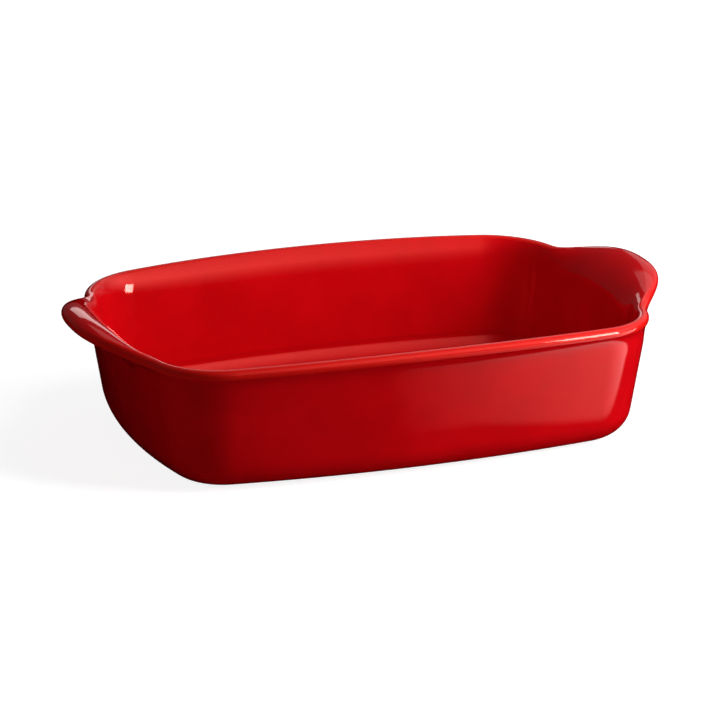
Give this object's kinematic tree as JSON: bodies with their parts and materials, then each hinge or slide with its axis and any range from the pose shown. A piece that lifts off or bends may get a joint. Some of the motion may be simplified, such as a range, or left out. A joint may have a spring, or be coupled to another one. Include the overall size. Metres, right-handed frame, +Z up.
{
  "type": "baking dish",
  "caption": "Deep rectangular oven dish in glazed stoneware, with rounded corners, a flared rim, a low bare foot ring and a rolled lug handle drawn out of the rim at each short end.",
  "frame": {"origin": "centre of the dish's outline, on the table under the foot ring", "axes": "+X along the dish towards one lug, +Y across it, +Z up out of the dish"},
  "size_m": [0.3628, 0.231, 0.0864],
  "materials": {
    "stoneware": "bare fired clay, buff, fine grained and matt",
    "red_glaze": "deep red glossy glaze"
  },
  "bodies": {
    "root": {"stoneware_body": "stoneware", "inside_glaze": "red_glaze", "outside_glaze": "red_glaze", "underside_glaze": "red_glaze"}
  },
  "joints": []
}
